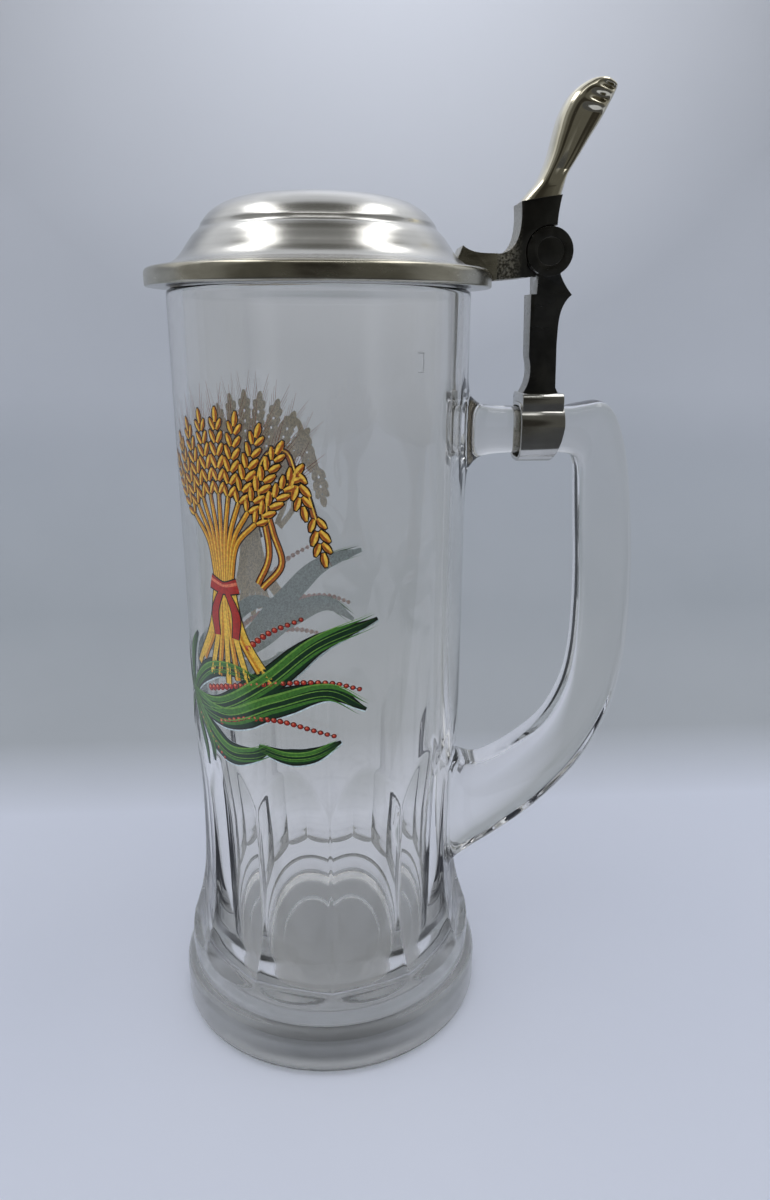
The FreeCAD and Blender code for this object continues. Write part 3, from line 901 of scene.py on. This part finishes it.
def sheaf(art):
    """Bound sheaf of barley: a fan of ears above the tie and a skirt of stalks below it."""
    tie_u, tie_z = 31.5, 131.0
    leans = [-0.52, -0.38, -0.25, -0.12, 0.0, 0.12, 0.25, 0.38, 0.52]
    middle = len(leans) // 2
    for index in range(len(leans)):
        off = index - middle
        foot_z = 105.5 + 1.5 * abs(off) * (1 if index % 2 else 0.4)
        path = [(tie_u + off * 3.1, foot_z), (tie_u + off * 1.35, 119.0), (tie_u + off * 0.62, tie_z)]
        stalk(art, path, 0.78, GOLD if index % 2 else GOLD_LIGHT)
    for index in (0, 8, 1, 7, 2, 6, 3, 5, 4):
        lean = leans[index]
        rise = 19.0 + 5.5 * math.cos(lean * 2.6)
        neck = (tie_u + math.sin(lean) * rise, tie_z + math.cos(lean) * rise * 0.86)
        waist = (tie_u + math.sin(lean * 0.8) * rise * 0.55, tie_z + rise * 0.46)
        stalk(art, [(tie_u + (index - middle) * 0.6, tie_z), waist, neck], 0.62)
        ear(art, neck, lean * 1.35, 15.5 + 1.5 * math.cos(lean * 3), 6)
    ribbon(art, tie_u, tie_z)


def ribbon(art, u, z):
    """Red band round the stalks with two hanging ends."""
    bow = [(u - 4.4, z - 0.3), (u, z - 1.4), (u + 4.4, z - 0.3)]
    art.strip(bow, [(0, 2.0), (0.5, 1.7), (1, 2.0)], INK, 5, cells=3)
    art.strip(bow, [(0, 1.65), (0.5, 1.35), (1, 1.65)], RED, 6, cells=3)
    art.strip(bow, [(0, 0.4), (0.5, 0.3), (1, 0.4)], RED_LIGHT, 7, shift=0.6, cells=1)
    for side in (-1, 1):
        tail = [(u + side * 0.6, z - 1.6), (u + side * 3.4, z - 7.5), (u + side * 3.0, z - 13.5)]
        art.strip(tail, [(0, 0.9), (0.6, 1.5), (1, 1.2)], INK, 5, cells=2)
        art.strip(tail, [(0, 0.6), (0.6, 1.2), (1, 0.9)], RED, 6, cells=2)


def sprays(art):
    """Two curling stems that leave the sheaf and end in hanging ears."""
    first = [(41.5, 132.0), (44.5, 139.0), (43.4, 148.5), (42.6, 156.5), (45.3, 161.8), (49.2, 162.0),
             (51.0, 157.5)]
    second = [(42.5, 131.0), (47.4, 137.0), (45.6, 144.5), (44.6, 150.5), (48.2, 154.8), (53.0, 153.6),
              (55.2, 147.4)]
    for path in (first, second):
        stalk(art, path, 0.62, STEM)
    ear(art, (51.2, 157.6), 2.95, 8.0, 3)
    ear(art, (55.3, 147.6), 2.95, 8.5, 3)


def foliage(art):
    """Leaves that spread from one hub on the left, with strings of berries among them."""
    hub = (13.5, 97.5)
    blades = [
        ([hub, (22, 91.5), (30, 87.2), (37.5, 88.0), (43.5, 90.8)], 3.0),
        ([(40.0, 90.6), (47.0, 89.2), (53.5, 90.0), (60.0, 93.3)], 1.9),
        ([hub, (20, 92.0), (23.2, 87.4), (24.0, 82.6)], 1.5),
        ([hub, (17.0, 90.5), (19.8, 85.0), (20.8, 80.4)], 1.1),
        ([hub, (28, 99.0), (42, 107.5), (55, 118.2), (69.0, 123.6)], 3.2),
        ([hub, (30, 96.5), (44, 102.5), (57, 106.3), (66.2, 101.4)], 3.5),
        ([hub, (18, 103.0), (25, 108.0), (33, 109.5), (41.0, 107.5)], 2.3),
        ([hub, (13.0, 104.0), (14.5, 110.0), (18.5, 115.5)], 1.7),
        ([hub, (8.5, 92.0), (5.0, 86.5), (2.2, 83.5)], 1.5),
        ([hub, (9.0, 101.0), (5.5, 106.5), (2.0, 109.5)], 1.5),
    ]
    for path, half in blades:
        leaf(art, path, half)
    berries(art, [(24, 102.5), (36, 106.0), (48, 108.4), (58, 108.6), (64.8, 106.6)])
    berries(art, [(28, 94.5), (38, 97.8), (47, 98.2), (58.6, 95.0)])
    berries(art, [(17.5, 93.0), (23.0, 89.5), (28.4, 84.8)], 0.7)
    berries(art, [(38, 116.0), (44, 120.6), (51.5, 124.2)], 0.8)


def printed_ornament():
    """The print covers both sides of the plane through the handle, as mirror images."""
    art = Print()
    foliage(art)
    sprays(art)
    sheaf(art)
    count = len(art.points)
    points = art.points + [(x, -y, z) for x, y, z in art.points]
    faces = art.faces + [tuple(count + k for k in reversed(f)) for f in art.faces]
    piece = make_piece("printed_ornament", points, faces, "mug", print_material())
    paint(piece.data, art.colours + art.colours)


def paint(mesh, colours):
    """Gives each face its colour."""
    layer = mesh.color_attributes.new("print_colour", "FLOAT_COLOR", "CORNER")
    for polygon, colour in zip(mesh.polygons, colours):
        for loop in polygon.loop_indices:
            layer.data[loop].color = (*colour, 1)


def fill_mark():
    """Small bracket that shows how high to fill."""
    art = Print()
    strokes = ([(79.4, 182.6), (81.3, 182.6)], [(81.2, 182.7), (81.2, 178.4)],
               [(81.3, 178.5), (79.6, 178.5)])
    for path in strokes:
        art.strip(path, [(0, 0.13), (1, 0.13)], MARK, 1, cells=1)
    piece = make_piece("fill_mark", art.points, art.faces, "mug", print_material())
    paint(piece.data, art.colours)


# ---------------------------------------------------------------- studio

def camera():
    """Camera beyond the near side, which looks slightly down and a little to the right."""
    data = bpy.data.cameras.new("camera")
    data.sensor_width = SENSOR
    data.lens = SENSOR * FOCAL_SHARE
    data.clip_start = 0.01
    eye = bpy.data.objects.new("camera", data)
    bpy.context.scene.collection.objects.link(eye)
    forward = Vector((math.sin(CAMERA_YAW), math.cos(CAMERA_YAW), 0))
    right = Vector((math.cos(CAMERA_YAW), -math.sin(CAMERA_YAW), 0))
    ahead = forward * math.cos(CAMERA_PITCH) - Vector((0, 0, math.sin(CAMERA_PITCH)))
    up = right.cross(ahead)
    c, s = math.cos(CAMERA_ROLL), math.sin(CAMERA_ROLL)
    side = c * right + s * up
    top = c * up - s * right
    turn = Matrix((side, top, -ahead)).transposed()
    eye.matrix_world = Matrix.Translation(Vector(CAMERA_PLACE) * MM) @ turn.to_4x4()
    bpy.context.scene.camera = eye


def sweep_material():
    """Backdrop paint: a pale floor that turns to a greyer wall with painted shade and a painted pool of
    light, clear when seen from behind. Mirrored rays see a painted reflection.
    """
    n = Surface("sweep")
    x, y, z = n.split(n.place())
    # Painted shade: the wall is darker low in the curve and lighter higher up.
    wall = n.ramp(n.remap(z, 0.0, 0.34, 0.0, 1.0),
                  [(0.0, (0.455, 0.475, 0.49)), (0.15, (0.395, 0.42, 0.44)), (0.33, (0.47, 0.495, 0.52)),
                   (0.46, (0.535, 0.555, 0.585)), (0.72, (0.51, 0.525, 0.55)), (0.95, (0.43, 0.44, 0.455))])
    # Painted pool of light high on the wall.
    painted_light_pool = n.remap(n.distance((0.03, 0.225, 0.39)), 0.03, 0.22, 1.0, 0.0)
    wall_with_painted_light = n.mix(painted_light_pool, wall, (0.96, 0.97, 1.0))
    base = n.mix(n.remap(y, 0.094, 0.142, 0.0, 1.0), (0.775, 0.80, 0.885), wall_with_painted_light)
    mottled = n.mix(n.remap(n.noise(9.0, 3.0), 0.3, 0.7, 0.0, 0.08), base, (0.9, 0.9, 0.92))
    # Painted reflection: rays that metal or glass mirrors find the floor in front painted dark, as painted
    # shade, and the top of the wall shining, as painted light
    path = n.add("ShaderNodeLightPath")
    mirrored = n.math("SUBTRACT", path.outputs["Is Glossy Ray"], path.outputs["Is Transmission Ray"])
    mirrored = n.math("MAXIMUM", mirrored, 0.0)
    painted_dark_front = n.math("MULTIPLY", n.math("LESS_THAN", y, -0.12), mirrored)
    # Painted light shining from the top of the wall, seen only by mirrored rays.
    upper = n.remap(z, 0.33, 0.45, 0.0, 0.38)
    n.set(Base_Color=n.mix(painted_dark_front, mottled, (0.10, 0.10, 0.10)), Roughness=0.75, Specular_IOR_Level=0.15,
          Emission_Color=(1.0, 1.0, 0.99), Emission_Strength=n.math("MULTIPLY", mirrored, upper))
    n.clear_where(n.add("ShaderNodeNewGeometry").outputs["Backfacing"], (1.0, 1.0, 1.0))
    return n.material


def backdrop():
    """Floor that curves up into a wall behind the object."""
    reach = 1300.0
    floor_height = -0.3
    turn_start = 95.0
    radius = 130.0
    turn_steps = 24
    path = [(-reach, floor_height), (-300.0, floor_height), (turn_start, floor_height)]
    for k in range(1, turn_steps + 1):
        angle = math.radians(90 * k / turn_steps)
        path.append((turn_start + radius * math.sin(angle), floor_height + radius * (1 - math.cos(angle))))
    path.append((turn_start + radius, reach))
    points, faces = [], []
    for y, z in path:
        points += [(-reach, y, z), (reach, y, z)]
    for i in range(len(path) - 1):
        faces.append((2 * i, 2 * i + 1, 2 * i + 3, 2 * i + 2))
    make_piece("sweep", points, faces, None, sweep_material())


def panel(name, place, size, power):
    """Rectangular lamp overhead that shines straight down."""
    data = bpy.data.lights.new(name, "AREA")
    data.shape = "RECTANGLE"
    data.size, data.size_y = size[0] * MM, size[1] * MM
    data.energy = power
    lamp = bpy.data.objects.new(name, data)
    bpy.context.scene.collection.objects.link(lamp)
    lamp.location = Vector(place) * MM
    lamp.rotation_euler = Vector((0, 0, -1)).to_track_quat("-Z", "Y").to_euler()


def lighting():
    """A light tent: lit panels in a ring round a dark opening overhead, and pale walls."""
    top = 620.0
    panel("panel_left", (-235, 20, top), (130, 360), 0.36)
    panel("panel_right", (235, 20, top), (130, 360), 0.36)
    panel("panel_back", (0, 300, top), (330, 110), 0.26)
    panel("panel_front", (0, -270, top), (330, 90), 0.12)
    world = bpy.data.worlds.new("tent")
    bpy.context.scene.world = world
    world.use_nodes = True
    world.cycles.sampling_method = "NONE"
    world.node_tree.nodes.clear()
    n = Nodes(world.node_tree)
    shade = n.add("ShaderNodeBackground", in_Strength=1.08)
    n.link(tent_tone(n), shade.inputs["Color"])
    n.link(shade.outputs["Background"], n.add("ShaderNodeOutputWorld").inputs["Surface"])


def tent_tone(n):
    """The tent's walls by direction. Mirrored and bent rays also find the dark places round the camera."""
    x, y, z = n.split(n.add("ShaderNodeTexCoord").outputs["Generated"])
    aside = n.math("ABSOLUTE", x)
    # Opening overhead, a rounded rectangle a little behind the object
    power = 2.4
    across = n.math("POWER", n.math("DIVIDE", aside, 0.37), power)
    off = n.math("ABSOLUTE", n.math("DIVIDE", n.math("SUBTRACT", y, 0.12), 0.30))
    opening = n.fade(n.math("ADD", across, n.math("POWER", off, power)), 0.70, 1.30)
    opening = n.math("MULTIPLY", opening, n.math("GREATER_THAN", z, 0.0))
    sides = n.math("SUBTRACT", 1.0, n.fade(aside, 0.66, 0.90))
    # Whoever holds the camera
    towards = n.math("ADD", n.math("POWER", aside, 2.0), n.math("POWER", n.math("SUBTRACT", z, 0.22), 2.0))
    figure = n.math("MULTIPLY", n.fade(towards, 0.04, 0.16), n.math("LESS_THAN", y, 0.0))
    path = n.add("ShaderNodeLightPath")
    direct = n.math("LESS_THAN", path.outputs["Diffuse Depth"], 0.5)
    glossy = n.math("MULTIPLY", path.outputs["Is Glossy Ray"], direct)
    through = n.math("MULTIPLY", path.outputs["Is Transmission Ray"], direct)
    dark_glossy = n.math("MAXIMUM", n.fade(y, -0.62, -0.30), opening)
    dark_through = n.math("MAXIMUM", n.math("MAXIMUM", n.fade(y, -0.84, -0.66), sides), opening)
    pale = (0.62, 0.65, 0.71)
    mirrored = n.mix(dark_glossy, (0.26, 0.265, 0.265), (0.092, 0.091, 0.082))
    mirrored = n.mix(figure, mirrored, (0.028, 0.026, 0.022))
    bent = n.mix(dark_through, pale, (0.24, 0.25, 0.25))
    return n.mix(through, n.mix(glossy, pale, mirrored), bent)


def main():
    bpy.context.scene.view_settings.view_transform = "Standard"
    camera()
    backdrop()
    lighting()
    glass_vessel()
    lid_shell()
    hinge_pieces()
    printed_ornament()
    fill_mark()


main()
